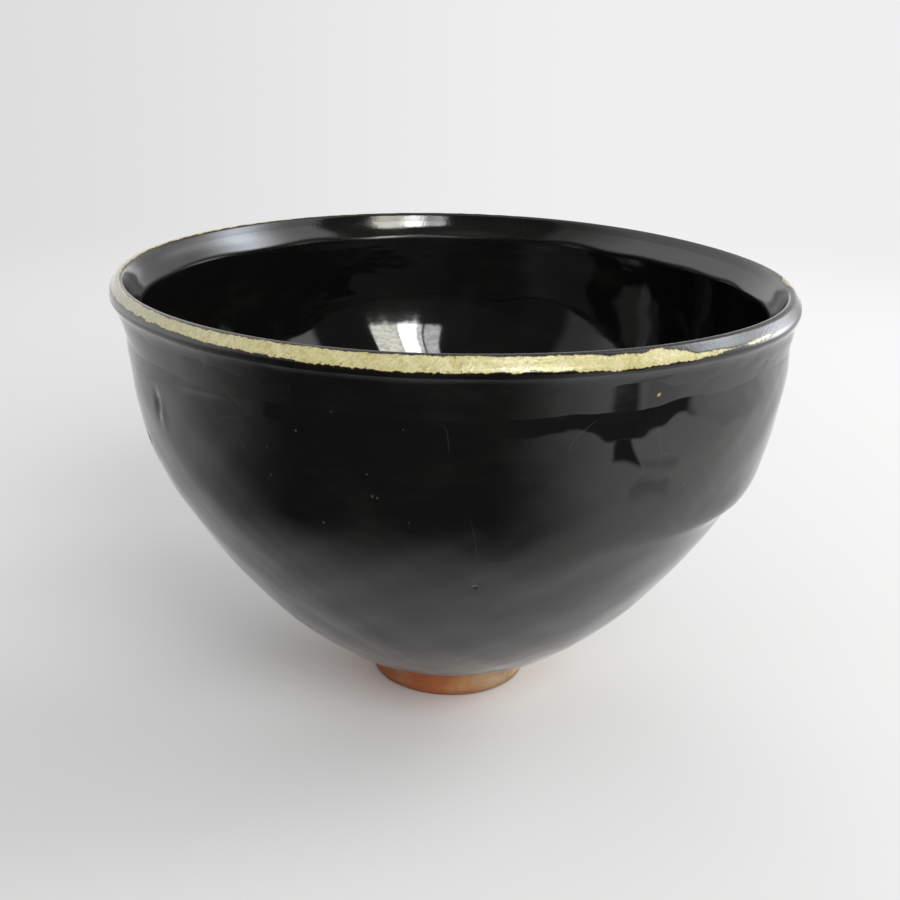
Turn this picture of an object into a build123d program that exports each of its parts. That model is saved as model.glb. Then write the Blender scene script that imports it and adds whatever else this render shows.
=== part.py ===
from build123d import *

import os

# A wheel-thrown matcha bowl in the tenmoku shape: a deep cone on a small trimmed foot, a rounded
# shoulder, a nearly upright upper wall, and a shallow neck under a flared lip. The bowl is one piece of
# fired clay with three coats of glaze, so nothing on it moves. Millimetres, +Z up. The origin is the
# centre of the face that the foot ring stands on.

# ---- driving dimensions ----
# Foot ring and the recess trimmed into its underside.
foot_height = 6.3
foot_bottom_radius = 14.3
foot_top_radius = 15.4
recess_radius = 10.4
recess_depth = 5.0
foot_edge_round = 0.6
foot_inner_chamfer = 0.8

# The wall's profile is one chain of tangent arcs and straight runs, which starts at the base beside the
# foot, climbs the outside, rolls over the lip and comes down the inside. An arc is (radius, degrees):
# a positive turn rounds outwards, as the shoulder does, and a negative one is hollow, as the neck is.
base_radius = 18.4
base_slope = 28.5
outside_arcs = [(72.0, 23.0), (160.0, 8.0), (45.0, 21.5), (76.0, 9.0), (9.0, -40.0)]
lip_edge = (1.5, 75.0)
lip_slope_length = 1.4
crest = (0.9, 115.0)
bevel_length = 4.8
inside_arcs = [(1.5, 28.0), (88.0, -9.5), (43.0, -22.5), (165.0, -8.5), (38.0, -47.5)]

# Glaze coats. The outer one stops above the foot and leaves a strip of bare clay.
glaze_thickness = 0.5
glaze_line_height = 10.0
pale_band_height = 77.6
pale_band_radius = 60.2


# ---- wall profile ----
def wall_profile(inset):
    """Draws the closed half section of the wall, its glazed faces moved into the wall by inset."""
    across = Vector(0, inset).rotate(Axis.Z, base_slope)
    position = Vector(base_radius, foot_height) + across
    direction = Vector(1, 0).rotate(Axis.Z, base_slope)
    start = position
    runs = [*outside_arcs, lip_edge, lip_slope_length, crest, bevel_length, *inside_arcs]
    for run in runs:
        if isinstance(run, tuple):
            radius, turn = run
            parallel_radius = radius - inset if turn > 0 else radius + inset
            edge = JernArc(position, direction, parallel_radius, turn)
        else:
            edge = Line(position, position + direction * run)
        position = edge @ 1
        direction = edge % 1
    Polyline(position, (0, position.Y), (0, foot_height), start)


# The wall with its glaze on, drawn on the XZ plane with X as the radius.
with BuildSketch(Plane.XZ) as glazed_wall:
    with BuildLine():
        wall_profile(0.0)
    make_face()

wall_box = glazed_wall.sketch.bounding_box()
bowl_height = wall_box.max.Z
bowl_radius = wall_box.max.X

# The clay under the glaze, and at full width the strip above the foot that the glaze leaves bare.
with BuildSketch(Plane.XZ) as clay_wall:
    add(glazed_wall.sketch_local)
    with Locations((0, foot_height)):
        Rectangle(
            bowl_radius,
            glaze_line_height - foot_height,
            align=(Align.MIN, Align.MIN),
            mode=Mode.INTERSECT,
        )
    with BuildLine():
        wall_profile(glaze_thickness)
    make_face()

# The glaze is what the clay leaves of the glazed wall. The pale band is its part on the lip's outer slope,
# from just under the edge to the crest. That parts the black glaze into an outer and an inner coat.
with BuildSketch(Plane.XZ) as pale_band:
    add(glazed_wall.sketch_local)
    add(clay_wall.sketch_local, mode=Mode.SUBTRACT)
    with Locations((pale_band_radius, pale_band_height)):
        Rectangle(bowl_radius, bowl_height, align=(Align.MIN, Align.MIN), mode=Mode.INTERSECT)

with BuildSketch(Plane.XZ) as black_coats:
    add(glazed_wall.sketch_local)
    add(clay_wall.sketch_local, mode=Mode.SUBTRACT)
    add(pale_band.sketch_local, mode=Mode.SUBTRACT)

inner_coat, outer_coat = black_coats.sketch.faces().sort_by(lambda face: face.bounding_box().max.X)


# ---- pieces ----
os.makedirs("parts", exist_ok=True)


def finish(part, name):
    """Labels a finished piece and writes it as its own STEP file."""
    part.label = name
    export_step(part, f"parts/{name}.step")


# Thrown clay wall and floor. Its underside inside the foot ring is the ceiling of the trimmed recess.
with BuildPart() as clay_body:
    add(clay_wall.sketch)
    revolve(axis=Axis.Z)
    with BuildSketch(Plane.XY.offset(recess_depth)):
        Circle(recess_radius)
    extrude(amount=foot_height - recess_depth)
finish(clay_body.part, "clay_body")

# Trimmed foot ring, slightly wider where it meets the wall.
with BuildPart() as foot_ring:
    with BuildSketch(Plane.XZ):
        with BuildLine():
            Polyline(
                (recess_radius, 0),
                (foot_bottom_radius, 0),
                (foot_top_radius, foot_height),
                (recess_radius, foot_height),
                close=True,
            )
        make_face()
    revolve(axis=Axis.Z)
    resting_edges = foot_ring.edges().group_by(Axis.Z)[0].sort_by(SortBy.RADIUS)
    fillet(resting_edges[-1], foot_edge_round)
    chamfer(foot_ring.edges().group_by(Axis.Z)[0].sort_by(SortBy.RADIUS)[0], foot_inner_chamfer)
finish(foot_ring.part, "foot_ring")

# Black coat outside, from its edge above the foot to the pale band.
with BuildPart() as outer_glaze:
    add(outer_coat)
    revolve(axis=Axis.Z)
finish(outer_glaze.part, "outer_glaze")

# Black coat inside, from the lip's crest to the floor.
with BuildPart() as inner_glaze:
    add(inner_coat)
    revolve(axis=Axis.Z)
finish(inner_glaze.part, "inner_glaze")

# Thin pale band on the lip's outer slope.
with BuildPart() as rim_glaze:
    add(pale_band.sketch)
    revolve(axis=Axis.Z)
finish(rim_glaze.part, "rim_glaze")
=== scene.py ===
import math

import bpy
import numpy as np
from mathutils import Matrix, Vector


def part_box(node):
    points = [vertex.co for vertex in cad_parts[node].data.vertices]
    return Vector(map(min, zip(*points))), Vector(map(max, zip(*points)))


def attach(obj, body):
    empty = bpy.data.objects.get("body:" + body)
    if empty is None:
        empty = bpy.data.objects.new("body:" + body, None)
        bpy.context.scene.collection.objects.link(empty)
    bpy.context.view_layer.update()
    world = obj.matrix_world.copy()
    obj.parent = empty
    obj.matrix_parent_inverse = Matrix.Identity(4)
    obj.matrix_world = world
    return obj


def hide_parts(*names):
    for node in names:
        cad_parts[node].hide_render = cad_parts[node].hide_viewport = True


# A wheel-thrown matcha bowl in black glaze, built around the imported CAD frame. Lengths are in
# millimetres, as in the CAD profile, until a mesh is made: MM turns them into metres.
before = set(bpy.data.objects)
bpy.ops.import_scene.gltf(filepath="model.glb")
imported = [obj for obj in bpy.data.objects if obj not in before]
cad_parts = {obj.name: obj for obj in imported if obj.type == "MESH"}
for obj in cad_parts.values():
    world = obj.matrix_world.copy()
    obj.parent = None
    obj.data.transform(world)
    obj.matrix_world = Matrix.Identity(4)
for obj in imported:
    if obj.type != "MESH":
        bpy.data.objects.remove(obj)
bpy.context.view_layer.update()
MM = 0.001

# ---- sizes from the frame ----
foot_low, foot_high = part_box("foot_ring")
clay_low, clay_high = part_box("clay_body")
outer_low, outer_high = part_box("outer_glaze")
FOOT_HEIGHT = foot_high.z / MM
FOOT_TOP_RADIUS = foot_high.x / MM
RECESS_HEIGHT = clay_low.z / MM
GLAZE_THICKNESS = (outer_high.x - clay_high.x) / MM
# The foot at the table, a little wider than in the CAD, and the hollow inside it.
FOOT_BOTTOM_RADIUS = 14.8
RECESS_RADIUS = 10.4

# The wall's profile: the CAD model's chain of arcs and straight runs, with a sharper throat. It starts at
# the base beside the foot, climbs the outside, rolls over the lip and comes down the inside. An arc is
# (radius, degrees), and a positive turn rounds outwards.
BASE_RADIUS = 18.4
BASE_SLOPE = 28.5
OUTSIDE_ARCS = [(72.0, 23.0), (160.0, 8.0), (45.0, 21.5), (76.0, 9.0), (9.0, -40.0)]
LIP_EDGE = (1.5, 75.0)
LIP_SLOPE_LENGTH = 1.4
CREST = (0.9, 115.0)
BEVEL_LENGTH = 5.05
INSIDE_ARCS = [(0.5, 28.0), 0.25, (88.0, -9.5), (43.0, -22.5), (165.0, -8.5), (38.0, -47.5)]
PROFILE_STEP = 0.05


def wall_profile():
    """Radius, height and outward normal along the wall's outline, and the length at the end of each run."""
    position = np.array([BASE_RADIUS, FOOT_HEIGHT])
    heading = math.radians(BASE_SLOPE)
    points = [position]
    headings = [heading]
    run_ends = []
    length = 0.0
    for run in [*OUTSIDE_ARCS, LIP_EDGE, LIP_SLOPE_LENGTH, CREST, BEVEL_LENGTH, *INSIDE_ARCS, None]:
        if run is None:
            run = float(position[0])
        if isinstance(run, tuple):
            radius, turn = run[0], math.radians(run[1])
            side = math.copysign(1.0, turn)
            centre = position + side * radius * np.array([-math.sin(heading), math.cos(heading)])
            count = max(2, math.ceil(radius * abs(turn) / PROFILE_STEP))
            for k in range(1, count + 1):
                angle = heading + turn * k / count
                points.append(centre - side * radius * np.array([-math.sin(angle), math.cos(angle)]))
                headings.append(angle)
            heading += turn
            length += radius * abs(turn)
        else:
            count = math.ceil(run / PROFILE_STEP)
            along = np.array([math.cos(heading), math.sin(heading)])
            for k in range(1, count + 1):
                points.append(position + along * run * k / count)
                headings.append(heading)
            length += run
        position = points[-1]
        run_ends.append(length)
    points = np.array(points)
    steps = np.hypot(*np.diff(points, axis=0).T)
    lengths = np.concatenate([[0.0], np.cumsum(steps)])
    lengths *= length / lengths[-1]
    return lengths, points[:, 0], points[:, 1], np.sin(headings), -np.cos(headings), run_ends


LENGTHS, RADII, HEIGHTS, NORMAL_R, NORMAL_Z, RUN_ENDS = wall_profile()
TOTAL = LENGTHS[-1]
NECK = RUN_ENDS[3]
LIP_UNDER = RUN_ENDS[4]
LIP_OUTER = RUN_ENDS[5]
CREST_START = RUN_ENDS[6]
CREST_END = RUN_ENDS[7]
THROAT = RUN_ENDS[9]
CREST_TOP = LENGTHS[np.argmax(HEIGHTS)]


def outside_length(height):
    """How far along the outline the outside reaches a height."""
    outside = LENGTHS <= CREST_TOP
    return float(np.interp(height, HEIGHTS[outside], LENGTHS[outside]))


# ---- small helpers for shapes ----
def ramp(value, low, high):
    """Goes smoothly from 0 at low to 1 at high."""
    t = np.clip((value - low) / (high - low), 0.0, 1.0)
    return t * t * (3.0 - 2.0 * t)


def around_from(angle, centre):
    """The angle in radians from a centre in degrees, the short way round."""
    return np.radians((np.degrees(angle) - centre + 180.0) % 360.0 - 180.0)


def around(angle, centre, width):
    """A smooth bump of height 1 at an angle in degrees, on a circle."""
    return np.exp(-((np.degrees(around_from(angle, centre)) / width) ** 2))


def hump(value, centre, width):
    """A smooth bump of height 1 at centre."""
    return np.exp(-(((value - centre) / width) ** 2))


def ripples(angle, along, size, seed, waves, periods, lengths):
    """Smooth noise of about the given size: waves with a whole number of periods round the bowl."""
    random = np.random.default_rng(seed)
    total = np.zeros(np.broadcast(angle, along).shape)
    for _ in range(waves):
        turns = random.integers(periods[0], periods[1] + 1) * random.choice([-1, 1])
        per_mm = 2.0 * math.pi / random.uniform(*lengths)
        total += np.cos(turns * angle + per_mm * along + random.uniform(0.0, 2.0 * math.pi))
    return size * total * math.sqrt(2.0 / waves)


# ---- what the potter's hand and the kiln did to the shape ----
# Where the rim rises or dips: the angle and width in degrees, and how much. The camera stands at -90.
RIM_WAVES = [(-80.0, 24.0, 0.4), (-48.0, 18.0, 0.2), (95.0, 40.0, 0.3), (28.0, 26.0, -0.3)]
RIM_WAVE_HEIGHTS = (52.0, 79.0)
# Where the lip leans in: the angle and width in degrees, and how much. It fades out down the wall,
# sooner outside than inside.
LIP_LEANS = [(4.0, 48.0, -1.45)]
LEAN_HEIGHTS_OUTSIDE = (70.5, 77.5)
LEAN_HEIGHTS_INSIDE = (56.0, 75.0)
# Where the wall is pulled in: angle and width in degrees, height, reach up and down, and how much.
WALL_LEANS = [(178.0, 50.0, 58.0, 17.0, -0.6), (188.0, 45.0, 26.0, 9.0, -0.12)]
OVAL_HEIGHTS = (12.0, 70.0)
# Throwing lines: height, width, size and how far the line climbs and falls round the bowl.
THROWING_LINES = [
    (67.9, 2.3, 0.10, 0.3),
    (62.5, 3.0, 0.08, 1.4),
    (56.0, 2.5, -0.04, 1.6),
    (49.0, 3.5, 0.06, 1.2),
    (38.0, 3.0, -0.04, 1.2),
    (30.0, 2.6, 0.04, 1.0),
]
# Fine grooves left by the rib: from an angle and height to an angle and height, and the size.
GROOVES = [
    (-60.0, 74.4, -14.0, 70.4, -0.040),
    (-160.0, 67.3, -114.0, 70.3, -0.030),
    (-128.0, 73.6, -92.0, 72.6, -0.020),
    (20.0, 71.0, 110.0, 68.5, -0.040),
    (120.0, 73.0, 190.0, 71.5, -0.035),
]
GROOVE_WIDTH = 0.45
# The thick end of a run of glaze on the right, where it stops above the lower wall.
RUN_ANGLE = -24.0
RUN_WIDTH = 24.0
RUN_HEIGHT = 45.6
RUN_BULGE = 0.8
RUN_HOLLOW = 0.2
# Dents pressed in before firing: angle, height, half width, half height, size.
DENTS = [
    (-144.4, 63.4, 0.9, 2.0, -0.40),
    (-142.6, 62.6, 0.9, 2.4, 0.14),
    (-155.7, 53.9, 1.0, 1.3, -0.30),
    (-85.7, 40.5, 0.8, 0.8, -0.12),
]
# The hollow under the lip is filled out a little by glaze, the bevel inside the crest is dished, and glaze
# gathers at the throat. Each is how far along the outline, the width and the size.
NECK_FILL = (83.35, 2.1, 0.37)
BEVEL_DISH = (94.2, 1.5, -0.08)
THROAT_EDGE = (97.0, 1.1, 0.06)
# The hand's spiral inside the wall, and the swirl on the floor: its pitch and size.
WALL_SPIRAL = (9.5, 0.03)
FLOOR_SWIRL = (5.5, 0.10)
# Fine unevenness: size, seed, number of waves, fewest and most periods round the bowl, and the shortest
# and longest wave along its outline.
HAND_WAVES = (0.045, 11, 36, (2, 22), (9.0, 30.0))
GLAZE_PEEL = (0.008, 12, 30, (20, 70), (4.0, 10.0))
TRIMMED_WAVES = (0.006, 13, 22, (1, 5), (1.8, 4.5))
TRIMMED_HEIGHTS = (34.0, 44.0)
INSIDE_WAVES = (0.03, 14, 30, (2, 14), (10.0, 30.0))
THROAT_WANDER = (0.25, 15, 30, (3, 24), (1.0, 2.0))
COAT_EDGE_WAVES = (0.15, 21, 14, (7, 30), (1.0, 2.0))
BAND_LOW_WAVES = [(0.06, 31, 24, (20, 120), (1.0, 2.0)), (0.04, 32, 24, (120, 400), (1.0, 2.0))]
BAND_HIGH_WAVES = [(0.05, 33, 24, (12, 90), (1.0, 2.0)), (0.03, 34, 24, (90, 360), (1.0, 2.0))]
BARE_CLAY_MARKS = (0.035, 41, 20, (1, 6), (0.9, 2.2))
FOOT_MARKS = (0.05, 51, 24, (1, 9), (0.7, 1.8))
FOOT_GRAIN = (0.02, 52, 24, (20, 90), (1.0, 3.0))


def wall_relief(angle, along):
    """How far the glazed face stands out from the plain profile, outwards, in millimetres."""
    height = np.interp(along, LENGTHS, HEIGHTS)
    on_outside = 1.0 - ramp(along, LIP_UNDER - 1.0, LIP_OUTER)
    on_inside = ramp(along, CREST_END + 1.0, THROAT + 2.0)
    on_floor = ramp(along, TOTAL - 22.0, TOTAL - 8.0)
    relief = np.zeros(np.broadcast(angle, along).shape)

    for k, (level, width, size, climb) in enumerate(THROWING_LINES):
        level = level + climb * np.sin(angle + 1.7 * k) + 0.3 * climb * np.sin(3 * angle + k)
        strength = 0.65 + 0.35 * np.sin(2 * angle + 2.3 * k)
        relief = relief + on_outside * size * strength * hump(height, level, width)
    relief = relief + on_outside * ripples(angle, along, *HAND_WAVES)
    relief = relief + on_outside * ripples(angle, along, *GLAZE_PEEL)
    trimmed = on_outside * (1.0 - ramp(height, *TRIMMED_HEIGHTS))
    relief = relief + trimmed * ripples(angle, along, *TRIMMED_WAVES)

    degrees = np.degrees(angle) % 360.0
    for angle_from, height_from, angle_to, height_to, size in GROOVES:
        share = ((degrees - angle_from) % 360.0) / (angle_to - angle_from)
        level = height_from + (height_to - height_from) * share
        present = ramp(share, 0.0, 0.2) * (1.0 - ramp(share, 0.8, 1.0))
        relief = relief + on_outside * size * present * hump(height, level, GROOVE_WIDTH)

    bulge = hump(height, RUN_HEIGHT + 1.6, 4.2) * ramp(height, RUN_HEIGHT - 1.8, RUN_HEIGHT + 1.2)
    hollow = hump(height, RUN_HEIGHT - 3.0, 3.4)
    run = RUN_BULGE * bulge - RUN_HOLLOW * hollow
    relief = relief + on_outside * around(angle, RUN_ANGLE, RUN_WIDTH) * run

    for centre, level, half_width, half_height, size in DENTS:
        centre_along = outside_length(level)
        across = np.interp(centre_along, LENGTHS, RADII) * around_from(angle, centre)
        dent = hump(across, 0.0, half_width) * hump(along, centre_along, half_height)
        relief = relief + on_outside * size * dent
    for centre, width, size in (NECK_FILL, BEVEL_DISH, THROAT_EDGE):
        relief = relief + size * hump(along, centre, width)

    pitch, size = WALL_SPIRAL
    spiral = np.sin(2.0 * math.pi * along / pitch + angle + 0.5 * np.sin(2 * angle))
    relief = relief + on_inside * (1.0 - on_floor) * size * spiral
    relief = relief + on_inside * (1.0 - 0.6 * on_floor) * ripples(angle, along, *INSIDE_WAVES)
    pitch, size = FLOOR_SWIRL
    swirl = np.sin(2.0 * math.pi * along / pitch - angle)
    relief = relief - on_floor * ramp(TOTAL - along, 0.5, 5.0) * size * swirl
    return relief


def bowl_points(angle, along, depth):
    """Points of the bowl in metres, depth millimetres under its glazed face."""
    uneven = ripples(angle, np.zeros_like(angle), *THROAT_WANDER)
    along = along + uneven * hump(along, THROAT, 2.2)
    radius = np.interp(along, LENGTHS, RADII)
    height = np.interp(along, LENGTHS, HEIGHTS)
    normal_r = np.interp(along, LENGTHS, NORMAL_R)
    normal_z = np.interp(along, LENGTHS, NORMAL_Z)
    out = wall_relief(angle, along) - depth
    at_axis = ramp(radius, 0.0, 3.0)
    radius = radius + out * normal_r * at_axis
    height = height + out * normal_z
    rise = ramp(height, *RIM_WAVE_HEIGHTS)
    for centre, width, size in RIM_WAVES:
        height = height + rise * size * around(angle, centre, width)
    inside = along >= CREST_TOP
    lip = np.where(inside, ramp(height, *LEAN_HEIGHTS_INSIDE), ramp(height, *LEAN_HEIGHTS_OUTSIDE))
    for centre, width, size in LIP_LEANS:
        radius = radius + lip * size * around(angle, centre, width)
    for centre, width, level, reach, size in WALL_LEANS:
        radius = radius + hump(height, level, reach) * size * around(angle, centre, width) * at_axis
    oval = 0.22 * np.cos(2 * angle - 0.6) + 0.10 * np.cos(3 * angle + 1.0) - 0.06
    radius = radius + oval * ramp(height, *OVAL_HEIGHTS) * at_axis
    return np.stack([radius * np.cos(angle), radius * np.sin(angle), height], axis=-1) * MM


# ---- meshes ----
def ring_mesh(name, rows, attributes=None, closed=False, sharp_rows=()):
    """A mesh from rows of points, each a ring round the axis. closed joins the last row to the first.
    Otherwise the first and last rows end in a point on the axis."""
    row_count, ring_count = rows.shape[:2]
    points = rows.reshape(-1, 3)
    index = np.arange(row_count * ring_count).reshape(row_count, ring_count)
    lower = index if closed else index[:-1]
    upper = np.roll(index, -1, axis=0) if closed else index[1:]
    quads = np.stack([lower, np.roll(lower, -1, axis=1), np.roll(upper, -1, axis=1), upper], axis=-1)
    faces = quads.reshape(-1, 4).tolist()
    if not closed:
        first = len(points)
        poles = [[0.0, 0.0, rows[0, :, 2].mean()], [0.0, 0.0, rows[-1, :, 2].mean()]]
        points = np.concatenate([points, poles])
        after = np.roll(index, -1, axis=1)
        faces += [[first, b, a] for a, b in zip(index[0].tolist(), after[0].tolist())]
        faces += [[first + 1, a, b] for a, b in zip(index[-1].tolist(), after[-1].tolist())]
    mesh = bpy.data.meshes.new(name)
    mesh.from_pydata(points.tolist(), [], faces)
    mesh.shade_smooth()
    for key, values in (attributes or {}).items():
        values = np.concatenate([values.reshape(-1), np.zeros(len(points) - values.size)])
        layer = mesh.attributes.new(key, "FLOAT", "POINT")
        layer.data.foreach_set("value", values.astype(np.float32))
    if len(sharp_rows):
        ends = np.empty(len(mesh.edges) * 2, dtype=np.int64)
        mesh.edges.foreach_get("vertices", ends)
        row_of = ends.reshape(-1, 2) // ring_count
        sharp = (row_of[:, 0] == row_of[:, 1]) & np.isin(row_of[:, 0], list(sharp_rows))
        layer = mesh.attributes.new("sharp_edge", "BOOLEAN", "EDGE")
        layer.data.foreach_set("value", sharp)
    piece = bpy.data.objects.new(name, mesh)
    bpy.context.scene.collection.objects.link(piece)
    return piece


def ring_angles(count):
    return np.linspace(0.0, 2.0 * math.pi, count, endpoint=False)[None, :]


def spread(start, end, count):
    """Evenly spaced numbers from start to end."""
    return start + (end - start) * np.linspace(0.0, 1.0, count)


def add_piece(piece, node, material):
    """Puts a finished piece in place of its CAD node."""
    piece.data.materials.append(material)
    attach(piece, "root")
    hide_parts(node)


# Where the coats meet: the rim's own mesh runs from under the lip's edge to just inside the crest.
RIM_LOW = LIP_UNDER + 0.15
RIM_HIGH = CREST_END + 1.4
GLAZE_LINE = outside_length(outer_low.z / MM)
# Points round the bowl in each piece's rings.
OUTER_RINGS = 640
INNER_RINGS = 640
RIM_RINGS = 1600
CLAY_RINGS = 480
# Rows of the outer coat lie closer together above these places along the outline.
DENSE_FROM = 54.0
FINE_FROM = 69.0
# The rows that shape the outer coat's rolled lower edge, from the edge up, and the roll's radius and size.
EDGE_ROWS = [0.0, 0.04, 0.12, 0.25, 0.42, 0.62, 0.85, 1.15, 1.5, 1.95, 2.5]
ROLL_RADIUS = 0.8
ROLL_SIZE = 0.18
# The clearance from the axis, where a point closes the mesh.
POLE_GAP = 0.3
# How much thinner the pale band lies than the black beside it.
BAND_DEPTH = 0.06


# ---- the coats and the clay ----
def glaze_edge(angle):
    """Where the outer coat stops above the foot: a slow wave with a few thicker tongues."""
    wave = 0.9 * np.sin(angle + 0.4) + 0.5 * np.sin(2 * angle + 2.1) + 0.35 * np.sin(5 * angle)
    return GLAZE_LINE + 0.6 + wave + ripples(angle, np.zeros_like(angle), *COAT_EDGE_WAVES)


def make_outer_glaze():
    """Black coat outside, with a rolled lower edge that sits proud of the bare clay."""
    angle = ring_angles(OUTER_RINGS)
    edge = glaze_edge(angle)
    near_edge = np.array(EDGE_ROWS)[:, None]
    start = edge + near_edge[-1]
    middle = start + spread(0.0, 1.0, 34)[1:, None] * (DENSE_FROM - start)
    upper = np.concatenate([spread(DENSE_FROM, FINE_FROM, 28)[1:], spread(FINE_FROM, RIM_LOW, 70)[1:]])
    front = np.concatenate([edge + near_edge, middle, upper[:, None] + 0.0 * angle])
    from_edge = front - edge
    rolled = np.sqrt(1.0 - np.clip(1.0 - from_edge / ROLL_RADIUS, 0.0, 1.0) ** 2)
    depth = GLAZE_THICKNESS * (1.0 - rolled) - ROLL_SIZE * hump(from_edge, 1.5, 1.3) * rolled
    back = RIM_LOW + spread(0.0, 1.0, 10)[:, None] * (edge - RIM_LOW)
    rows = np.concatenate([bowl_points(angle, front, depth), bowl_points(angle, back[:-1], GLAZE_THICKNESS)])
    count = len(front)
    return ring_mesh("outer_glaze_coat", rows, closed=True, sharp_rows=[count - 1, count])


def make_inner_glaze():
    """Black coat inside, from just inside the crest to the pooled floor."""
    angle = ring_angles(INNER_RINGS)
    front = np.concatenate([
        RIM_HIGH + spread(0.0, 1.0, 22)[:-1] * (THROAT + 1.0 - RIM_HIGH),
        THROAT + 1.0 + spread(0.0, 1.0, 114) * (TOTAL - POLE_GAP - THROAT - 1.0),
    ])[:, None]
    back = TOTAL - POLE_GAP - spread(0.0, 1.0, 14)[:, None] * (TOTAL - POLE_GAP - RIM_HIGH)
    rows = np.concatenate([bowl_points(angle, back, GLAZE_THICKNESS), bowl_points(angle, front, 0.0)])
    count = len(back)
    thin = 0.3 * (1.0 - ramp(front, THROAT - 1.5, THROAT + 0.4)) * np.ones_like(angle)
    dull = hump(front, THROAT - 0.15, 0.5) * np.ones_like(angle)
    hidden = np.zeros((count, INNER_RINGS))
    looks = {"thin": np.concatenate([hidden, thin]), "dull": np.concatenate([hidden, dull])}
    return ring_mesh("inner_glaze_coat", rows, looks, sharp_rows=[count - 1, count])


# The pale band round the lip: at angles in degrees, where its lower and upper edges run along the outline.
# It stops at the front right, where black glaze runs over the crest, and comes back as a patch and a line.
BAND_EDGES = [
    (-180.0, 88.8, 91.0), (-165.0, 88.5, 90.8), (-152.0, 88.5, 90.45), (-143.0, 88.45, 90.2),
    (-137.0, 88.35, 90.05), (-130.0, 88.15, 89.95), (-118.0, 87.95, 90.1), (-108.0, 87.7, 90.0),
    (-97.0, 87.45, 90.0), (-88.0, 87.5, 90.0), (-80.0, 87.65, 89.95), (-73.0, 87.5, 89.9),
    (-69.0, 87.15, 89.5), (-64.0, 87.25, 89.45), (-61.0, 87.4, 90.0), (-58.0, 87.45, 89.2),
    (-55.0, 87.4, 88.35), (-51.0, 87.6, 88.25), (-48.0, 87.8, 88.05), (-45.5, 87.95, 87.9),
    (-43.5, 87.8, 88.15), (-41.0, 87.75, 88.35), (-38.0, 87.9, 88.4), (-35.0, 88.35, 88.25),
    (-10.0, 89.2, 89.0), (-6.0, 88.3, 91.0), (-1.0, 88.3, 91.3), (4.0, 89.3, 89.2),
    (60.0, 89.6, 89.5), (78.0, 89.3, 90.6), (100.0, 89.2, 90.75), (125.0, 89.0, 90.85),
    (150.0, 88.8, 91.0),
]
# Where the lip's black glaze is worn thin and greyish: the middle and half width, in degrees.
WASH_SIDES = [(-163.0, 26.0), (2.0, 16.0)]
WASH_STRENGTH = 0.55


def pale_band(angle, along):
    """Distance inside the pale band's edges, in millimetres, and below 0 outside it, and the distance
    above its lower edge."""
    places, lows, highs = zip(*BAND_EDGES)
    low = np.interp(np.degrees(angle), places, lows, period=360.0)
    high = np.interp(np.degrees(angle), places, highs, period=360.0)
    flat = np.zeros_like(angle)
    for waves in BAND_LOW_WAVES:
        low = low + ripples(angle, flat, *waves)
    for waves in BAND_HIGH_WAVES:
        high = high + ripples(angle, flat, *waves)
    return np.clip(np.minimum(along - low, high - along), -1.5, 1.5), np.clip(along - low, -2.0, 4.0)


def make_rim_glaze():
    """The lip's glaze, fine enough for the ragged edge where black gives way to pale."""
    angle = ring_angles(RIM_RINGS)
    front = np.concatenate([
        spread(RIM_LOW, LIP_OUTER - 1.0, 7)[:-1],
        spread(LIP_OUTER - 1.0, CREST_END, 34)[:-1],
        spread(CREST_END, RIM_HIGH, 9),
    ])[:, None]
    inside, above = pale_band(angle, front)
    thin = np.where(front > CREST_START, 1.0 - 0.7 * ramp(front, CREST_START, CREST_END),
                    1.0 - ramp(CREST_START - front, 0.9, 2.4)) * np.ones_like(angle)
    wash = WASH_STRENGTH * hump(front, CREST_START, 2.0) * sum(around(angle, *side) for side in WASH_SIDES)
    depth = BAND_DEPTH * ramp(inside, -0.12, 0.16)
    back = spread(RIM_HIGH, RIM_LOW, 7)[:, None]
    rows = np.concatenate([bowl_points(angle, front, depth), bowl_points(angle, back, GLAZE_THICKNESS)])
    hidden = np.zeros((len(back), RIM_RINGS))
    looks = {
        "band": np.concatenate([inside, hidden - 1.5]),
        "above": np.concatenate([above, hidden]),
        "thin": np.concatenate([thin, hidden]),
        "wash": np.concatenate([wash, hidden]),
    }
    ends = [0, len(front) - 1, len(front), len(rows) - 1]
    return ring_mesh("rim_glaze_coat", rows, looks, closed=True, sharp_rows=ends)


# The turned spiral in the foot's hollow, the distance between its turns, and the nipple at its middle.
RECESS_SPIRAL = 0.07
RECESS_PITCH = 1.9
RECESS_NIPPLE = 0.22


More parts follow.
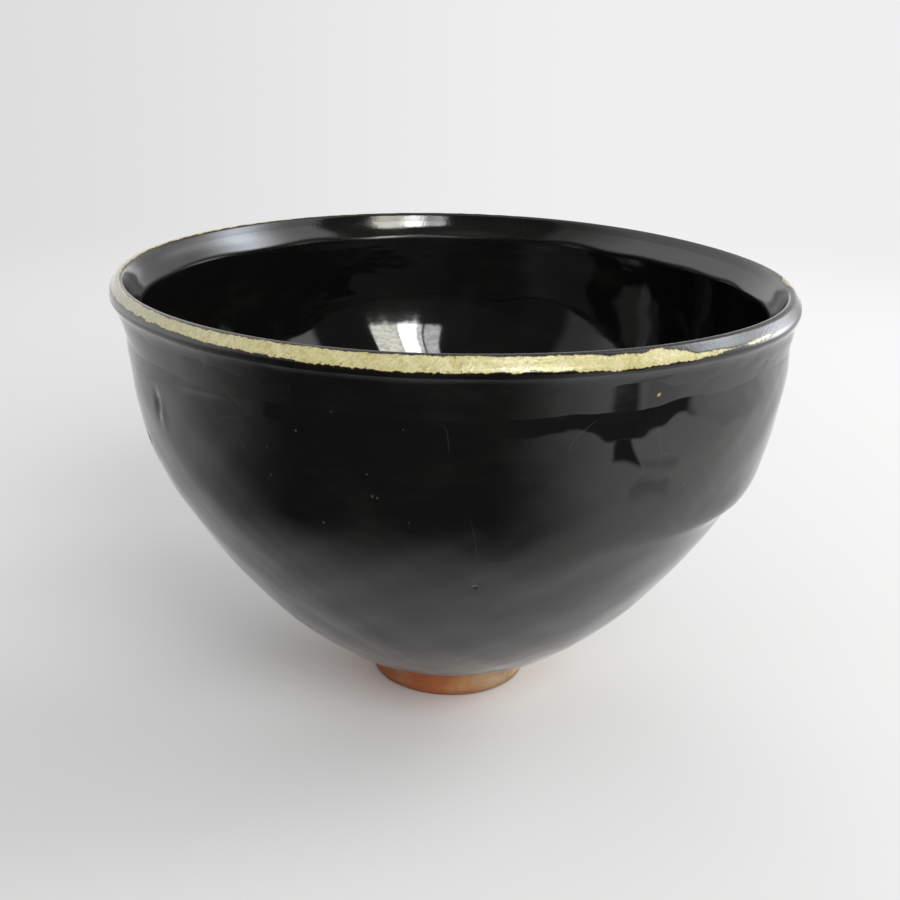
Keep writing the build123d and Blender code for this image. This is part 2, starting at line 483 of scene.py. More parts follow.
def make_clay_body():
    """The clay: the trimmed hollow in the foot, the bare strip beside it and the wall under the glaze."""
    angle = ring_angles(CLAY_RINGS)
    ceiling_radius = np.concatenate([[POLE_GAP], spread(1.0, RECESS_RADIUS, 20)])[:, None]
    turned = RECESS_SPIRAL * np.sin(2.0 * math.pi * ceiling_radius / RECESS_PITCH - angle)
    nipple = RECESS_NIPPLE * hump(ceiling_radius, 0.0, 2.2)
    ceiling = np.broadcast_to(RECESS_HEIGHT + 0.05 - turned - nipple, (len(ceiling_radius), CLAY_RINGS))
    base_radius = np.array([RECESS_RADIUS, RECESS_RADIUS + 2.0, FOOT_TOP_RADIUS - 0.4,
                            *spread(FOOT_TOP_RADIUS, BASE_RADIUS - 0.35, 6)])[:, None]
    base = np.broadcast_to(np.full_like(base_radius, FOOT_HEIGHT), (len(base_radius), CLAY_RINGS))
    radius = np.concatenate([np.broadcast_to(ceiling_radius, ceiling.shape),
                             np.broadcast_to(base_radius, base.shape)])
    height = np.concatenate([ceiling, base])
    under = np.stack([radius * np.cos(angle), radius * np.sin(angle), height], axis=-1) * MM
    bare = spread(0.25, GLAZE_LINE + 3.0, 30)[:, None]
    bare_depth = GLAZE_THICKNESS * ramp(bare, 0.0, GLAZE_LINE - 3.0)
    marks = ripples(angle, bare, *BARE_CLAY_MARKS)
    hidden = np.concatenate([
        spread(GLAZE_LINE + 5.0, NECK, 40),
        spread(NECK + 1.0, THROAT + 2.0, 30),
        spread(THROAT + 4.0, TOTAL - POLE_GAP, 40),
    ])[:, None]
    wall = np.concatenate([bowl_points(angle, bare, bare_depth + marks),
                           bowl_points(angle, hidden, GLAZE_THICKNESS + 0.02)])
    ceiling_edge = len(ceiling_radius) - 1
    return ring_mesh("clay_wall", np.concatenate([under, wall]), sharp_rows=[ceiling_edge, ceiling_edge + 1])


FOOT_ROUND = 0.4
RECESS_ROUND = 0.9
FOOT_SIDE_HOLLOW = 0.15
FOOT_SIDE_START = 0.5


def rounded_corner(radius_at_middle, rounding, angle):
    """A point of the standing face's rounded edge, from the angle away from straight down."""
    return radius_at_middle + rounding * math.sin(angle), rounding - rounding * math.cos(angle)


def foot_side(share):
    """A point of the foot's side, from 0 near the table to 1 under the wall."""
    radius = FOOT_BOTTOM_RADIUS + 0.02 + (FOOT_TOP_RADIUS - FOOT_BOTTOM_RADIUS) * share**1.6
    radius = radius - FOOT_SIDE_HOLLOW * math.sin(math.pi * share)
    return radius, FOOT_SIDE_START + (FOOT_HEIGHT - FOOT_SIDE_START) * share


def make_foot_ring():
    """The trimmed foot: a flat standing face with rounded edges, a slightly hollow side and tool lines."""
    angle = ring_angles(CLAY_RINGS)
    inner_middle = RECESS_RADIUS + RECESS_ROUND
    outer_middle = FOOT_BOTTOM_RADIUS - FOOT_ROUND
    outline = np.array([
        *[rounded_corner(inner_middle, RECESS_ROUND, a) for a in spread(-1.2, 0.0, 6)],
        *[(r, 0.0) for r in spread(inner_middle + 0.4, outer_middle - 0.5, 6)],
        *[rounded_corner(outer_middle, FOOT_ROUND, a) for a in spread(0.1, 1.4, 8)],
        *[foot_side(share) for share in spread(0.0, 1.0, 22)],
        *[(r, FOOT_HEIGHT) for r in spread(FOOT_TOP_RADIUS - 1.0, RECESS_RADIUS + 0.6, 4)],
        *[(RECESS_RADIUS, z) for z in spread(FOOT_HEIGHT, 1.0, 12)],
    ])
    radius = outline[:, :1]
    height = outline[:, 1:]
    on_side = ramp(radius, FOOT_BOTTOM_RADIUS - 0.8, FOOT_BOTTOM_RADIUS) * ramp(height, 0.2, 0.8)
    on_face = 1.0 - ramp(height, 0.0, 0.6)
    marks = ripples(angle, height, *FOOT_MARKS) + 0.10 * np.sin(2 * angle + 0.8)
    grain = ripples(angle, 3.0 * radius, *FOOT_GRAIN)
    radius = radius + (on_side + 0.4) * marks
    height = height + on_face * (0.02 + np.abs(grain))
    rows = np.stack([radius * np.cos(angle), radius * np.sin(angle), height + 0 * angle], axis=-1) * MM
    return ring_mesh("foot_ring_clay", rows, closed=True)


# ---- materials ----
class Nodes:
    """A short way to write a node tree: each call adds a node, and links or sets its inputs."""

    def __init__(self, tree):
        self.tree = tree

    def add(self, kind, inputs=None, **settings):
        node = self.tree.nodes.new(kind)
        for key, value in settings.items():
            setattr(node, key, value)
        for key, value in (inputs or {}).items():
            socket = node.inputs[key]
            if isinstance(value, bpy.types.NodeSocket):
                self.tree.links.new(value, socket)
            else:
                socket.default_value = value
        return node

    def maths(self, operation, a, b=0.0, clamp=False):
        return self.add("ShaderNodeMath", {0: a, 1: b}, operation=operation, use_clamp=clamp).outputs[0]

    def plus(self, a, b, clamp=False):
        return self.maths("ADD", a, b, clamp)

    def minus(self, a, b):
        return self.maths("SUBTRACT", a, b)

    def times(self, a, b, clamp=False):
        return self.maths("MULTIPLY", a, b, clamp)

    def ramp(self, value, low, high, to_low=0.0, to_high=1.0):
        inputs = {"Value": value, "From Min": low, "From Max": high, "To Min": to_low, "To Max": to_high}
        return self.add("ShaderNodeMapRange", inputs, interpolation_type="SMOOTHSTEP").outputs[0]

    def noise(self, place, scale, detail=2.0, roughness=0.5):
        inputs = {"Vector": place, "Scale": scale, "Detail": detail, "Roughness": roughness}
        return self.add("ShaderNodeTexNoise", inputs).outputs["Fac"]

    def mix(self, factor, a, b):
        """A colour between a and b: the Mix node's colours are its inputs 6 and 7, and its output 2."""
        return self.add("ShaderNodeMix", {0: factor, 6: a, 7: b}, data_type="RGBA").outputs[2]

    def mix_value(self, factor, a, b):
        return self.add("ShaderNodeMix", {0: factor, 2: a, 3: b}).outputs[0]

    def attribute(self, name):
        return self.add("ShaderNodeAttribute", attribute_name=name).outputs["Fac"]

    def distance(self, a, b):
        return self.add("ShaderNodeVectorMath", {0: a, 1: b}, operation="DISTANCE").outputs["Value"]

    def stretched(self, place, scale):
        return self.add("ShaderNodeMapping", {"Vector": place, "Scale": scale}).outputs[0]


# Roughness of the black glaze: from least to most on the wall, where it is thin, and at the throat. The
# throat also shines less, because the glaze there is starved and pitted.
GLOSS_ROUGHNESS = (0.03, 0.09)
SATIN_ROUGHNESS = 0.17
DULL_ROUGHNESS = 0.4
FULL_SHINE = 0.5
DULL_SHINE = 0.04
BLACK_IOR = 1.6
STRAW_IOR = 1.5
CLAY_IOR = 1.45
# How deep the bump of the glaze and of the clay goes, in metres.
PEEL_DEPTH = 0.000025
CLAY_GRAIN_DEPTH = 0.00006


def new_material(name):
    material = bpy.data.materials.new(name)
    material.use_nodes = True
    material.node_tree.nodes.clear()
    return material, Nodes(material.node_tree)


def finish_material(n, colour, roughness, height, depth, ior, shine=FULL_SHINE):
    """Ends a material: height bumps the surface by up to depth, in metres."""
    bump = n.add("ShaderNodeBump", {"Height": height, "Strength": 1.0, "Distance": depth})
    looks = {"Base Color": colour, "Roughness": roughness, "Normal": bump.outputs[0]}
    shader = n.add("ShaderNodeBsdfPrincipled", {**looks, "IOR": ior, "Specular IOR Level": shine})
    n.add("ShaderNodeOutputMaterial", {"Surface": shader.outputs[0]})


BLACK = (0.0034, 0.0033, 0.0031, 1.0)
BLACK_OLIVE = (0.0070, 0.0066, 0.0038, 1.0)
# Painted sheen: a greyer veil on the black glaze.
PAINTED_SHEEN_GREY = (0.0100, 0.0101, 0.0092, 1.0)
THIN_BROWN = (0.030, 0.016, 0.006, 1.0)
THIN_GREY = (0.018, 0.018, 0.015, 1.0)
SPECK_GREY = (0.13, 0.13, 0.12, 1.0)
WASH_GREY = (0.42, 0.42, 0.34, 1.0)
STRAW_GREY = (0.46, 0.455, 0.36, 1.0)
# Painted shade inside the pits.
PIT_SHADE_BLACK = (0.0008, 0.0008, 0.0008, 1.0)
STRAW = (0.575, 0.525, 0.245, 1.0)
STRAW_PALE = (0.67, 0.63, 0.37, 1.0)
STRAW_TAN = (0.34, 0.27, 0.11, 1.0)
STRAW_BROWN = (0.12, 0.07, 0.025, 1.0)
CLAY = (0.36, 0.110, 0.040, 1.0)
CLAY_PALE = (0.46, 0.25, 0.11, 1.0)
# Dark clay for scorched patches and grit, and for painted shade at the standing edge.
CLAY_DARK = (0.13, 0.045, 0.022, 1.0)
# Painted light: the paler clay on the lit right side.
CLAY_LIT_PALE = (0.46, 0.33, 0.20, 1.0)
CLAY_BURNT = (0.15, 0.095, 0.065, 1.0)

# Small things in the black glaze, at an angle in degrees and a height in millimetres, with a radius.
PALE_SPECKS = [
    (-118.5, 73.2, 0.22), (-107.4, 70.3, 0.15), (-97.1, 68.5, 0.13), (-122.6, 62.1, 0.15),
    (-118.2, 63.0, 0.13), (-118.1, 58.4, 0.18), (-102.4, 61.1, 0.17), (-101.0, 57.3, 0.22),
    (-96.4, 53.4, 0.14), (-110.0, 51.6, 0.24), (-57.3, 62.7, 0.20), (-61.3, 60.4, 0.17),
    (-52.0, 56.5, 0.18), (-50.6, 59.8, 0.13), (-39.6, 68.9, 0.16), (-50.1, 72.7, 0.14),
    (-54.2, 55.4, 0.15), (-71.9, 75.3, 0.12),
]
PITS = [(-85.7, 40.5, 0.55), (-155.9, 53.9, 0.60), (-101.7, 57.5, 0.22)]
STRAW_SPOTS = [(-60.2, 72.6, 0.5)]
# Curved craze lines: the angle and height of the middle of the circle, and its radius.
CRAZE_CURVES = [(-66.0, 64.5, 8.2), (-95.0, 64.5, 5.2)]
# Noise bends the craze lines by up to this much, in metres. Its middle value moves them all by half of it.
CRAZE_BEND = 0.012
CRAZE_SHIFT = Vector((0.5, 0.5, 0.5)) * CRAZE_BEND


def surface_point(angle, height):
    """A point on the outside of the bowl, from an angle in degrees and a height in millimetres."""
    angles = np.radians(np.array([[angle]]))
    return Vector(bowl_points(angles, np.array([[outside_length(height)]]), 0.0)[0, 0])


def near_spots(n, place, spots):
    """1 inside each of the spots, fading to 0 at its edge."""
    total = 0.0
    for angle, height, size in spots:
        away = n.distance(place, surface_point(angle, height))
        total = n.plus(total, n.ramp(away, size * MM, 0.45 * size * MM))
    return total


def black_glaze_looks(n, place, with_spots):
    """Colour, roughness and surface height of the black glaze: an olive cast where it runs thin, a painted
    sheen that greys it in smudges and in streaks stronger low down, dull smears where hands have polished
    it unevenly, hairline crazing, sparse pale specks, and a faint orange peel."""
    cast = n.noise(n.stretched(place, (1.0, 1.0, 2.5)), 55.0, 4.0, 0.6)
    colour = n.mix(n.ramp(cast, 0.52, 0.75), BLACK, BLACK_OLIVE)
    z = n.add("ShaderNodeSeparateXYZ", {"Vector": place}).outputs["Z"]
    # Painted sheen: the glaze is greyed in smudges and in streaks that are stronger low down.
    low_wall = n.ramp(z, 0.042, 0.014, 0.2, 1.0)
    streaks = n.noise(n.stretched(place, (9.0, 9.0, 1000.0)), 1.0, 4.0, 0.65)
    streaky = n.times(n.ramp(streaks, 0.52, 0.74), low_wall)
    smudges = n.noise(n.stretched(place, (1.0, 1.0, 1.8)), 62.0, 6.0, 0.66)
    painted_sheen = n.plus(streaky, n.ramp(smudges, 0.50, 0.74, 0.0, 0.6), clamp=True)
    colour = n.mix(painted_sheen, colour, PAINTED_SHEEN_GREY)

    bent = n.add("ShaderNodeTexNoise", {"Vector": place, "Scale": 45.0, "Detail": 2.0}).outputs["Color"]
    bend = n.add("ShaderNodeVectorMath", {0: bent, "Scale": CRAZE_BEND}, operation="SCALE").outputs[0]
    warped = n.add("ShaderNodeVectorMath", {0: place, 1: bend}, operation="ADD").outputs[0]
    cracks = n.add("ShaderNodeTexVoronoi", {"Vector": warped, "Scale": 62.0}, feature="DISTANCE_TO_EDGE")
    shown = n.ramp(n.noise(place, 34.0, 3.0, 0.6), 0.54, 0.64, 0.0, 0.09)
    craze = n.times(n.ramp(cracks.outputs["Distance"], 0.0060, 0.002), shown)
    colour = n.mix(craze, colour, SPECK_GREY)

    cells = n.add("ShaderNodeTexVoronoi", {"Vector": place, "Scale": 260.0, "Randomness": 1.0})
    chosen = n.add("ShaderNodeSeparateColor", {"Color": cells.outputs["Color"]}).outputs[0]
    near = n.ramp(cells.outputs["Distance"], 0.055, 0.03)
    speck = n.times(near, n.ramp(chosen, 0.94, 0.95))
    if with_spots:
        speck = n.plus(speck, near_spots(n, place, PALE_SPECKS), clamp=True)
        broken = n.ramp(n.noise(place, 130.0, 3.0, 0.6), 0.46, 0.60, 0.0, 0.16)
        for angle, level, radius in CRAZE_CURVES:
            away = n.distance(warped, surface_point(angle, level) + CRAZE_SHIFT)
            off_line = n.maths("ABSOLUTE", n.minus(away, radius * MM))
            line = n.times(n.ramp(off_line, 0.00010, 0.00003), broken)
            colour = n.mix(line, colour, SPECK_GREY)
    colour = n.mix(n.times(speck, 0.5), colour, SPECK_GREY)
    smears = n.noise(n.stretched(place, (1.0, 1.0, 3.0)), 38.0, 5.0, 0.65)
    roughness = n.ramp(smears, 0.35, 0.75, *GLOSS_ROUGHNESS)
    satin = n.attribute("thin")
    colour = n.mix(n.times(satin, 0.7), colour, THIN_GREY)
    roughness = n.mix_value(satin, roughness, SATIN_ROUGHNESS)
    dull = n.attribute("dull")
    roughness = n.mix_value(dull, roughness, DULL_ROUGHNESS)
    peel = n.noise(place, 420.0, 2.0, 0.5)
    waves = n.noise(n.stretched(place, (1.0, 1.0, 1.6)), 110.0, 2.0, 0.5)
    height = n.plus(n.times(peel, 0.12), waves)
    height = n.minus(height, n.times(speck, 0.3))
    pitted = n.times(n.noise(place, 1500.0, 3.0, 0.65), satin)
    height = n.plus(height, n.times(pitted, 1.6))
    if with_spots:
        # Painted shade: the pits are coloured darker than the glaze round them.
        pit = n.maths("MINIMUM", near_spots(n, place, PITS), 1.0)
        colour = n.mix(pit, colour, PIT_SHADE_BLACK)
        height = n.minus(height, n.times(pit, 5.0))
        spot = near_spots(n, place, STRAW_SPOTS)
        colour = n.mix(spot, colour, STRAW_TAN)
        height = n.plus(height, n.times(spot, 2.0))
    return colour, roughness, height


def make_black_glaze(name, with_spots):
    """Black glaze. Only the outside's has its own spots, pits darkened with painted shade, and long craze
    lines.
    """
    material, n = new_material(name)
    place = n.add("ShaderNodeTexCoord").outputs["Object"]
    colour, roughness, height = black_glaze_looks(n, place, with_spots)
    shine = n.ramp(n.attribute("dull"), 0.0, 1.0, FULL_SHINE, DULL_SHINE)
    finish_material(n, colour, roughness, height, PEEL_DEPTH, BLACK_IOR, shine)
    return material


def make_rim_material():
    """Black glaze, satin where the crest leaves it thin, that gives way to pale straw glaze inside the
    mesh's band: mottled, grainy and pricked with brown, and smoother near its lower edge."""
    material, n = new_material("rim_glaze")
    place = n.add("ShaderNodeTexCoord").outputs["Object"]
    colour, roughness, height = black_glaze_looks(n, place, False)
    band = n.attribute("band")
    above = n.attribute("above")
    wash = n.attribute("wash")
    worn = n.times(wash, n.ramp(n.noise(place, 700.0, 4.0, 0.65), 0.36, 0.62, 0.35, 1.0))
    colour = n.mix(worn, colour, WASH_GREY)
    fray = n.noise(place, 2600.0, 3.0, 0.7)
    frayed = n.plus(band, n.times(n.minus(fray, 0.5), 0.5))
    pale = n.ramp(frayed, -0.06, 0.09)
    thin = n.times(n.ramp(frayed, -0.42, 0.0), n.ramp(fray, 0.3, 0.6))
    colour = n.mix(thin, colour, THIN_BROWN)

    tone = n.noise(place, 420.0, 4.0, 0.6)
    straw = n.mix(n.ramp(tone, 0.35, 0.7), STRAW, STRAW_PALE)
    mottle = n.noise(place, 1250.0, 3.0, 0.65)
    straw = n.mix(n.ramp(mottle, 0.48, 0.72, 0.0, 0.55), straw, STRAW_TAN)
    grain = n.noise(place, 2800.0, 3.0, 0.7)
    straw = n.mix(n.ramp(grain, 0.48, 0.64, 0.0, 0.45), straw, STRAW_TAN)
    deep = n.ramp(band, 0.0, 0.7, 0.56, 0.68)
    specked = n.ramp(n.minus(grain, deep), 0.0, 0.05)
    straw = n.mix(n.times(specked, 0.8), straw, STRAW_BROWN)
    straw = n.mix(n.times(wash, 1.5, clamp=True), straw, STRAW_GREY)
    colour = n.mix(pale, colour, straw)

    pale_roughness = n.ramp(above, 1.3, 2.0, 0.14, 0.36)
    roughness = n.mix_value(pale, roughness, pale_roughness)
    grit = n.plus(n.times(grain, 1.5), n.times(mottle, 3.0))
    height = n.plus(height, n.times(grit, pale))
    finish_material(n, colour, roughness, height, PEEL_DEPTH, STRAW_IOR)
    return material


def make_clay():
    """Bare fired clay: orange brown in patches, paler on the right with painted light, darker at the standing
    edge with painted shade, burnt near the glaze, with grains of dark and pale grit, and lines from trimming."""
    material, n = new_material("bare_clay")
    place = n.add("ShaderNodeTexCoord").outputs["Object"]
    patches = n.noise(place, 70.0, 4.0, 0.6)
    colour = n.mix(n.ramp(patches, 0.42, 0.66), CLAY, CLAY_PALE)
    x, _, z = n.add("ShaderNodeSeparateXYZ", {"Vector": place}).outputs
    # Painted light: the clay turns paler towards the right, where the light falls on it.
    lit_right = n.plus(x, n.times(patches, 0.008))
    colour = n.mix(n.ramp(lit_right, 0.006, 0.014, 0.0, 0.95), colour, CLAY_LIT_PALE)
    # Painted shade: the clay darkens near the table, at the standing edge.
    colour = n.mix(n.ramp(z, 0.0016, 0.0002, 0.0, 0.6), colour, CLAY_DARK)
    colour = n.mix(n.ramp(z, 0.0060, 0.0075, 0.0, 0.6), colour, CLAY_BURNT)
    scorched = n.noise(place, 120.0, 3.0, 0.6)
    colour = n.mix(n.ramp(scorched, 0.58, 0.78, 0.0, 0.6), colour, CLAY_DARK)
    grit = n.noise(place, 2400.0, 2.0, 0.6)
    colour = n.mix(n.ramp(grit, 0.66, 0.74, 0.0, 0.7), colour, CLAY_DARK)
    colour = n.mix(n.ramp(grit, 0.32, 0.24, 0.0, 0.5), colour, CLAY_PALE)
    lines = n.noise(n.stretched(place, (40.0, 40.0, 1500.0)), 1.0, 3.0, 0.6)
    height = n.plus(n.times(lines, 1.4), grit)
    roughness = n.ramp(patches, 0.3, 0.7, 0.62, 0.82)
    finish_material(n, colour, roughness, height, CLAY_GRAIN_DEPTH, CLAY_IOR)
    return material


bare_clay = make_clay()
add_piece(make_outer_glaze(), "outer_glaze", make_black_glaze("black_glaze_outside", True))
add_piece(make_inner_glaze(), "inner_glaze", make_black_glaze("black_glaze_inside", False))
add_piece(make_rim_glaze(), "rim_glaze", make_rim_material())
add_piece(make_clay_body(), "clay_body", bare_clay)
add_piece(make_foot_ring(), "foot_ring", bare_clay)


# ---- camera ----
# Distances in metres, angles in radians and the lens in millimetres on a 36 mm wide frame.
CAMERA_BACK = 0.23427
CAMERA_HEIGHT = 0.12806
CAMERA_DOWN = 0.3413
CAMERA_TURN = -0.0035
CAMERA_ROLL = 0.0272
LENS = 52.0
SENSOR_WIDTH = 36.0


def make_camera():
    data = bpy.data.cameras.new("camera")
    data.lens = LENS
    data.sensor_width = SENSOR_WIDTH
    camera = bpy.data.objects.new("camera", data)
    bpy.context.scene.collection.objects.link(camera)
    level = math.cos(CAMERA_DOWN)
    ahead = Vector((math.sin(CAMERA_TURN) * level, math.cos(CAMERA_TURN) * level, -math.sin(CAMERA_DOWN)))
    right = Vector((math.cos(CAMERA_TURN), -math.sin(CAMERA_TURN), 0.0))
    up = right.cross(ahead)
    tilted_right = right * math.cos(CAMERA_ROLL) + up * math.sin(CAMERA_ROLL)
    tilted_up = up * math.cos(CAMERA_ROLL) - right * math.sin(CAMERA_ROLL)
    axes = Matrix((tilted_right, tilted_up, -ahead)).transposed()
    camera.matrix_world = Matrix.Translation((0.0, -CAMERA_BACK, CAMERA_HEIGHT)) @ axes.to_4x4()
    bpy.context.scene.camera = camera


make_camera()


# ---- stage and light ----
def add_stage_mesh(name, points, faces, material):
    """A mesh for the floor and what lies round the bowl, not part of the bowl."""
    mesh = bpy.data.meshes.new(name)
    mesh.from_pydata(points, [], faces)
    mesh.materials.append(material)
    thing = bpy.data.objects.new(name, mesh)
    bpy.context.scene.collection.objects.link(thing)
    return thing


FLOOR_COLOUR = (0.82, 0.82, 0.815, 1.0)
FLOOR_SIZE = 2.0
# How far from the bowl the floor starts to fade and is gone, in metres.
FLOOR_FADE = (0.20, 0.52)


def make_floor():
    """A pale floor that fades into the pale surroundings far from the bowl."""
    material, n = new_material("floor")
    place = n.add("ShaderNodeTexCoord").outputs["Object"]
    far = n.add("ShaderNodeVectorMath", {0: place}, operation="LENGTH").outputs["Value"]
    surface = n.add("ShaderNodeBsdfDiffuse", {"Color": FLOOR_COLOUR})
    clear = n.add("ShaderNodeBsdfTransparent")
    fade = n.ramp(far, *FLOOR_FADE)
    mixed = n.add("ShaderNodeMixShader", {0: fade, 1: surface.outputs[0], 2: clear.outputs[0]})
    n.add("ShaderNodeOutputMaterial", {"Surface": mixed.outputs[0]})
    s = FLOOR_SIZE
    corners = [(-s, -s, 0.0), (s, -s, 0.0), (s, s, 0.0), (-s, s, 0.0)]
    add_stage_mesh("floor", corners, [(0, 1, 2, 3)], material)


# The shade on the floor, in metres from the axis and in degrees from straight in front. The sector is the
# photographer's own shade, and the floor's white ends at the near edge.
SECTOR_DARK = 0.965
SECTOR_NEAR = (0.034, 0.097)
SECTOR_LEFT = (-97.0, -43.0)
SECTOR_RIGHT = (10.0, 50.0)
EDGE_NEAR = (0.203, 0.217)
EDGE_LEFT = (-64.0, -54.0)
EDGE_RIGHT = (98.0, 125.0)
EDGE_DARK = 0.95
EDGE_PALER_FROM = (70.0, 76.0)
EDGE_PALER_BY = 0.80
SHADE_HEIGHT = 0.001
SHADE_COLOUR = (0.02, 0.02, 0.02, 1.0)
# Darker bars in it: from and to in degrees, from and to in metres, and how dark.
BAR_SOFTNESS = (1.0, 0.006)
SHADE_BARS = [
    (44.5, 53.0, 0.146, 0.215, 0.95),
    (55.0, 70.0, 0.147, 0.162, 0.22),
    (51.0, 66.0, 0.114, 0.128, 0.32),
]


def soft_step(value, edge, soft):
    """Goes smoothly from 0 to 1 across an edge, over soft on each side of it."""
    return ramp(value, edge - soft, edge + soft)


def make_shade():
    """The shade that the photographer throws on the floor, as the glaze mirrors it: a soft dark sector in
    front, and darkness past the near edge of the white floor. It shows in gloss only."""
    radii = np.concatenate([spread(0.035, 0.26, 110), spread(0.27, 1.6, 12)])[:, None]
    angles = np.radians(spread(-110.0, 130.0, 360))[None, :]
    across = np.degrees(angles)
    sector = ramp(radii, *SECTOR_NEAR) * ramp(across, *SECTOR_LEFT) * (1.0 - ramp(across, *SECTOR_RIGHT))
    beyond = ramp(radii, *EDGE_NEAR) * ramp(across, *EDGE_LEFT) * (1.0 - ramp(across, *EDGE_RIGHT))
    beyond = beyond * (EDGE_DARK - EDGE_PALER_BY * ramp(across, *EDGE_PALER_FROM))
    cover = np.maximum(SECTOR_DARK * sector, beyond)
    turn_soft, depth_soft = BAR_SOFTNESS
    for turn_from, turn_to, near, far, dark in SHADE_BARS:
        wide = soft_step(across, turn_from, turn_soft) * (1.0 - soft_step(across, turn_to, turn_soft))
        deep = soft_step(radii, near, depth_soft) * (1.0 - soft_step(radii, far, depth_soft))
        cover = np.maximum(cover, dark * wide * deep)
    height = np.full_like(cover, SHADE_HEIGHT)
    points = np.stack([radii * np.sin(angles), -radii * np.cos(angles), height], axis=-1)
    index = np.arange(cover.size).reshape(cover.shape)
    faces = np.stack([index[:-1, :-1], index[1:, :-1], index[1:, 1:], index[:-1, 1:]], axis=-1).reshape(-1, 4)
    material, n = new_material("shade")
    dark = n.add("ShaderNodeBsdfDiffuse", {"Color": SHADE_COLOUR})
    clear = n.add("ShaderNodeBsdfTransparent")
    mixed = n.add("ShaderNodeMixShader", {0: n.attribute("cover"), 1: clear.outputs[0], 2: dark.outputs[0]})
    n.add("ShaderNodeOutputMaterial", {"Surface": mixed.outputs[0]})
    shade = add_stage_mesh("shade", points.reshape(-1, 3).tolist(), faces.tolist(), material)
    layer = shade.data.attributes.new("cover", "FLOAT", "POINT")
    layer.data.foreach_set("value", cover.ravel().astype(np.float32))
    show_in_gloss_only(shade)


def show_in_gloss_only(thing):
    """Hides a thing from every ray but those that the glaze reflects."""
    for ray in ("camera", "diffuse", "shadow", "transmission", "volume_scatter"):
        setattr(thing, f"visible_{ray}", False)


def towards(turn, rise, distance):
    """A place as seen from the bowl: degrees from straight in front towards the right, and degrees up."""
    across = math.radians(turn)
    up = math.radians(rise)
    level = math.cos(up)
    return Vector((math.sin(across) * level, -math.cos(across) * level, math.sin(up))) * distance


def soft_patch(n, direction, turn, rise, sharpness, strength):
    """A patch of light in the room that fades away from its middle."""
    ends = {0: direction, 1: towards(turn, rise, 1.0)}
    facing = n.add("ShaderNodeVectorMath", ends, operation="DOT_PRODUCT").outputs["Value"]
    away = n.times(n.minus(facing, 1.0), sharpness)
    return n.times(n.maths("EXPONENT", away), strength)


def between(n, value, low, high, soft):
    """1 between low and high, fading to 0 over soft at both ends."""
    rising = n.ramp(value, low - soft, low + soft)
    return n.times(rising, n.ramp(value, high + soft, high - soft))


# The window's panes: from and to in degrees, and how bright. Its sill is lowest at its middle, rises with
# the square of the degrees away from it, and has something uneven on it.
WINDOW_PANES = [(7.5, 14.2, 7.5), (15.2, 17.8, 10.0), (17.8, 27.0, 24.0), (27.4, 41.0, 11.0)]
WARM_PANE = (27.4, 41.0)
SILL_MIDDLE = 32.0
SILL_RISE = 13.5
SILL_CURVE = 0.009
SILL_UNEVEN = 3.5
WINDOW_TOP = (50.6, 49.2)


def window_light(n, direction, turn, rise):
    """A window behind the photographer: its panes, with something uneven on its sill."""
    uneven = n.noise(direction, 9.0, 3.0, 0.6)
    middle = n.maths("ABSOLUTE", n.minus(turn, SILL_MIDDLE))
    sill = n.plus(SILL_RISE, n.times(n.times(middle, middle), SILL_CURVE))
    sill = n.plus(sill, n.times(n.minus(uneven, 0.5), SILL_UNEVEN))
    above_sill = n.ramp(n.minus(rise, sill), -0.8, 0.8)
    open_part = n.times(above_sill, n.ramp(rise, *WINDOW_TOP))
    total = 0.0
    for low, high, radiance in WINDOW_PANES:
        total = n.plus(total, n.times(between(n, turn, low, high, 0.6), radiance))
    blotches = n.ramp(n.noise(direction, 22.0, 3.0, 0.6), 0.35, 0.65, 0.75, 1.15)
    return n.times(n.times(total, blotches), open_part)


WARM = (1.0, 1.0, 0.88, 1.0)
COOL = (0.93, 0.98, 1.06, 1.0)
WHITE = (1.0, 1.0, 1.0, 1.0)
# How bright a window is in a reflection of a reflection, and the ray depth that tells one.
SECOND_LOOK = 0.25
SECOND_LOOK_DEPTH = (2.4, 2.6)
# The plain light that all but the gloss and the camera see, and the wall that the camera sees, with painted
# light that makes it brighter towards the right.
SOFT_ROOM = 0.38
WALL_SPAN = (-0.40, 0.15)
WALL_TONES = (0.72, 0.87)
DARK_FRONT = 0.08
# Soft patches of light at the right: degrees round, degrees up, sharpness and strength.
SIDE_WINDOW = (104.0, 33.0, 60.0, 8.5)
SIDE_SILL = (122.0, 4.0, 40.0, 7.5)
# The ceiling: from and to in degrees up, and how bright.
CEILING_RISE = (57.0, 66.0)
CEILING_LIGHT = 0.8


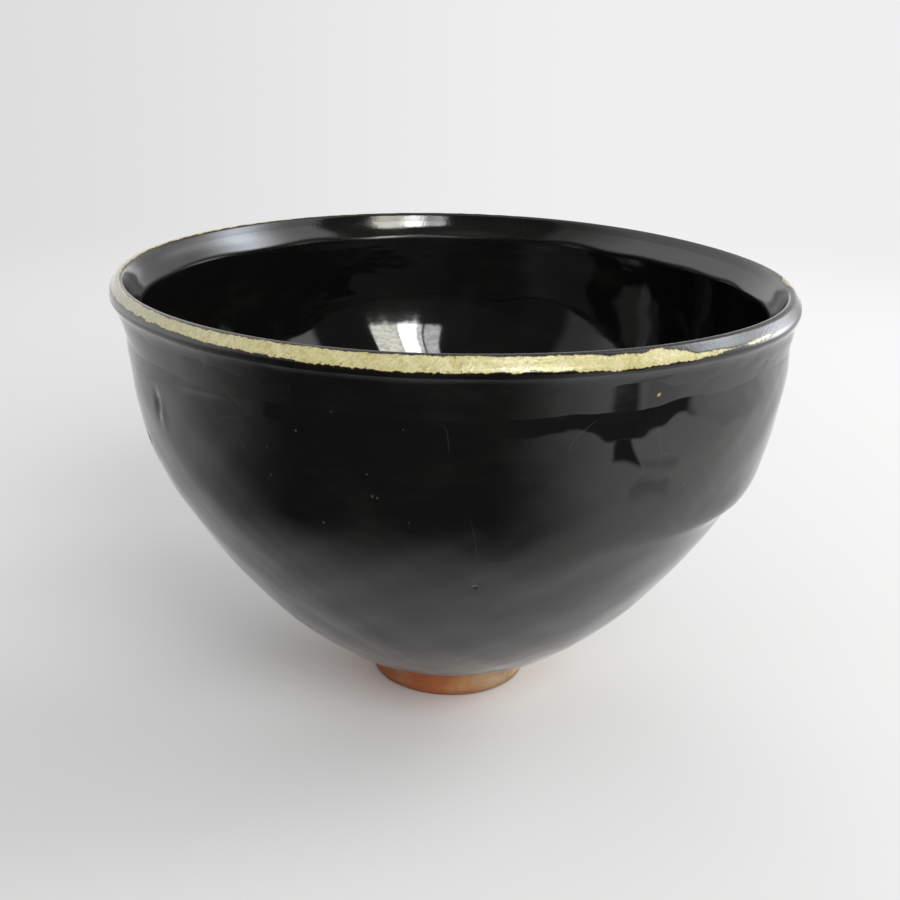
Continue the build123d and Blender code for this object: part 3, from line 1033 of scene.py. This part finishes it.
def make_world():
    """The room. In the gloss it is dark in front, with a window there, a bright side window on the right,
    white boards at both sides and a grey ceiling. The floor sees plain soft light, and the camera a pale
    wall, with painted light that makes it brighter towards the right. A window seen again in a reflection is
    dimmer, as the glaze's ripples break it up."""
    world = bpy.data.worlds.new("world")
    bpy.context.scene.world = world
    world.use_nodes = True
    world.cycles.sampling_method = "NONE"
    world.node_tree.nodes.clear()
    n = Nodes(world.node_tree)
    direction = n.add("ShaderNodeTexCoord").outputs["Generated"]
    x, y, z = n.add("ShaderNodeSeparateXYZ", {"Vector": direction}).outputs
    turn = n.maths("DEGREES", n.maths("ARCTAN2", x, n.times(y, -1.0)))
    rise = n.maths("DEGREES", n.maths("ARCSINE", z))
    left = n.times(turn, -1.0)
    left_board = n.plus(n.ramp(left, 44.0, 50.0, 0.0, 0.35), n.ramp(left, 52.0, 90.0, 0.0, 1.05))
    left_board = n.times(left_board, n.ramp(left, 112.0, 140.0, 1.0, 0.78))
    left_board = n.times(left_board, n.ramp(left, 158.0, 180.0, 1.0, 0.5))
    right_board = n.times(n.ramp(turn, 64.0, 69.0, 0.0, 1.5), n.ramp(turn, 134.0, 118.0))
    right_board = n.plus(right_board, n.ramp(turn, 118.0, 134.0, 0.0, 0.56))
    room = n.plus(DARK_FRONT, n.plus(left_board, right_board))
    side_window = soft_patch(n, direction, *SIDE_WINDOW)
    side_window = n.plus(side_window, soft_patch(n, direction, *SIDE_SILL))
    paths = n.add("ShaderNodeLightPath").outputs
    dimmed = n.ramp(paths["Ray Depth"], *SECOND_LOOK_DEPTH, 1.0, SECOND_LOOK)
    side_window = n.times(side_window, dimmed)
    room = n.plus(room, side_window)
    horizon = n.times(n.ramp(rise, 2.0, 9.0, 0.85, 0.0), n.ramp(turn, 150.0, 160.0))
    room = n.plus(room, horizon)
    overhead = n.ramp(rise, *CEILING_RISE)
    room = n.plus(n.times(room, n.minus(1.0, overhead)), n.times(overhead, CEILING_LIGHT))
    room = n.plus(room, n.times(window_light(n, direction, turn, rise), dimmed))
    colour = n.mix(between(n, turn, *WARM_PANE, 1.0), WHITE, WARM)
    colour = n.mix(n.times(side_window, 0.2, clamp=True), colour, COOL)

    # Painted light: the camera's wall grows brighter towards the right.
    wall = n.ramp(x, *WALL_SPAN, *WALL_TONES)
    plain = n.mix_value(paths["Is Camera Ray"], SOFT_ROOM, wall)
    strength = n.mix_value(paths["Is Glossy Ray"], plain, room)
    colour = n.mix(paths["Is Glossy Ray"], WHITE, colour)
    background = n.add("ShaderNodeBackground", {"Color": colour, "Strength": strength})
    n.add("ShaderNodeOutputWorld", {"Surface": background.outputs[0]})


# The soft lights: degrees from straight in front, degrees up, distance, size and brightness, where
# white paper in full light is 1. The gloss shows the room's windows in their place.
SOFT_LIGHTS = [
    ("front_window_light", 26.0, 32.0, 0.8, (0.40, 0.45), 7.3),
    ("side_window_light", 101.0, 36.0, 1.2, (0.36, 1.00), 2.3),
    ("back_right_light", 125.0, 16.0, 1.0, (0.70, 0.50), 5.4),
    ("back_left_light", -160.0, 20.0, 1.0, (0.70, 0.50), 2.9),
]
# They stand round this point on the bowl's axis, and face it.
LIGHTS_MIDDLE = Vector((0.0, 0.0, 0.05))


def add_soft_light(name, turn, rise, distance, size, radiance):
    """A rectangle of light that faces the bowl and doesn't show in the gloss."""
    data = bpy.data.lights.new(name, "AREA")
    data.shape = "RECTANGLE"
    data.size, data.size_y = size
    data.energy = radiance * math.pi * size[0] * size[1]
    light = bpy.data.objects.new(name, data)
    bpy.context.scene.collection.objects.link(light)
    place = towards(turn, rise, distance)
    light.location = place + LIGHTS_MIDDLE
    light.rotation_euler = (-place).to_track_quat("-Z", "Y").to_euler()
    light.visible_glossy = False
    light.visible_camera = False


make_floor()
make_shade()
make_world()
for soft_light in SOFT_LIGHTS:
    add_soft_light(*soft_light)

bpy.context.scene.view_settings.view_transform = "Standard"
